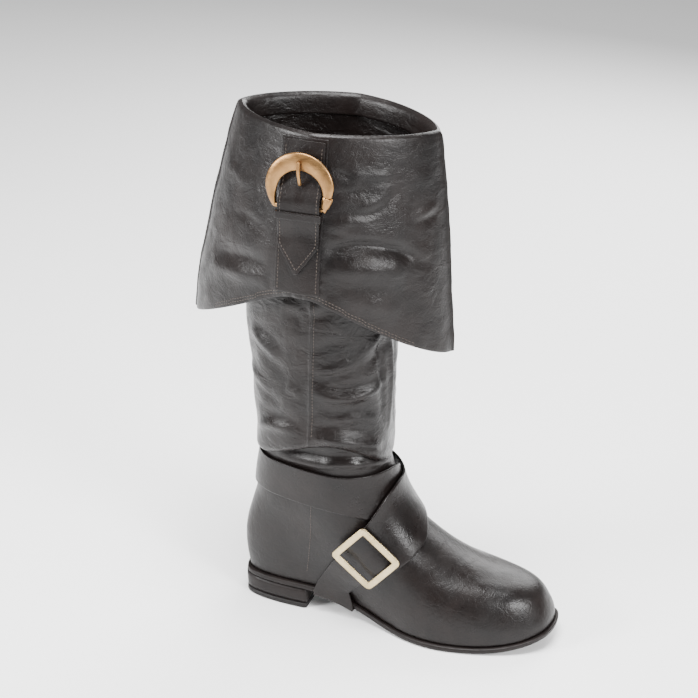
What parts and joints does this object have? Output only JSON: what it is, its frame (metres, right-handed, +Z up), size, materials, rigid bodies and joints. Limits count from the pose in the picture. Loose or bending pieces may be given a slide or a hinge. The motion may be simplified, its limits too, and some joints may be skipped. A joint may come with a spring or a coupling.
{
  "type": "tall buckled boot with a turned-down cuff",
  "caption": "Knee-length slouched leather boot for the right foot: low stacked heel, side zip, crossed ankle straps with a square buckle, wide turned-down cuff with a crescent buckle.",
  "frame": {"origin": "middle of the heel's bottom face, on the floor", "axes": "+Z up the leg, +X to the toe, +Y to the inner side of the foot, where the zip is"},
  "size_m": [0.3487, 0.1647, 0.4704],
  "materials": {
    "leather": "soft semi-gloss dark brown leather",
    "strap_leather": "smooth semi-gloss dark brown leather",
    "sole": "satin dark brown, fine stacked lines at the heel",
    "top_piece": "matte black",
    "lining": "matte",
    "zip_tape": "matte black woven tape with a coil",
    "zip_metal": "satin",
    "pale_gold": "satin pale gold",
    "antique_gold": "brushed antique gold"
  },
  "bodies": {
    "boot": {"outsole": "sole", "heel_block": "sole", "heel_top_piece": "top_piece", "insole": "lining", "foot_upper": "leather", "leg_shaft": "leather", "cuff": "leather", "strap_plain": "strap_leather", "strap_buckled": "strap_leather", "buckle_frame": "pale_gold", "buckle_bar": "pale_gold", "cuff_strap_base": "strap_leather", "cuff_strap_end": "strap_leather", "strap_keeper": "strap_leather", "crescent_buckle": "antique_gold", "buckle_prong": "antique_gold", "zip_strip": "zip_tape", "zip_slider": "zip_metal"},
    "pull_tab": {"zip_pull": "zip_metal"}
  },
  "joints": [
    {"name": "pull_swing", "type": "hinge", "parent": "boot", "child": "pull_tab", "pos_m": [0.0205, 0.06131, 0.311], "axis": [1, 0, 0], "range_deg": [0, 22]}
  ]
}
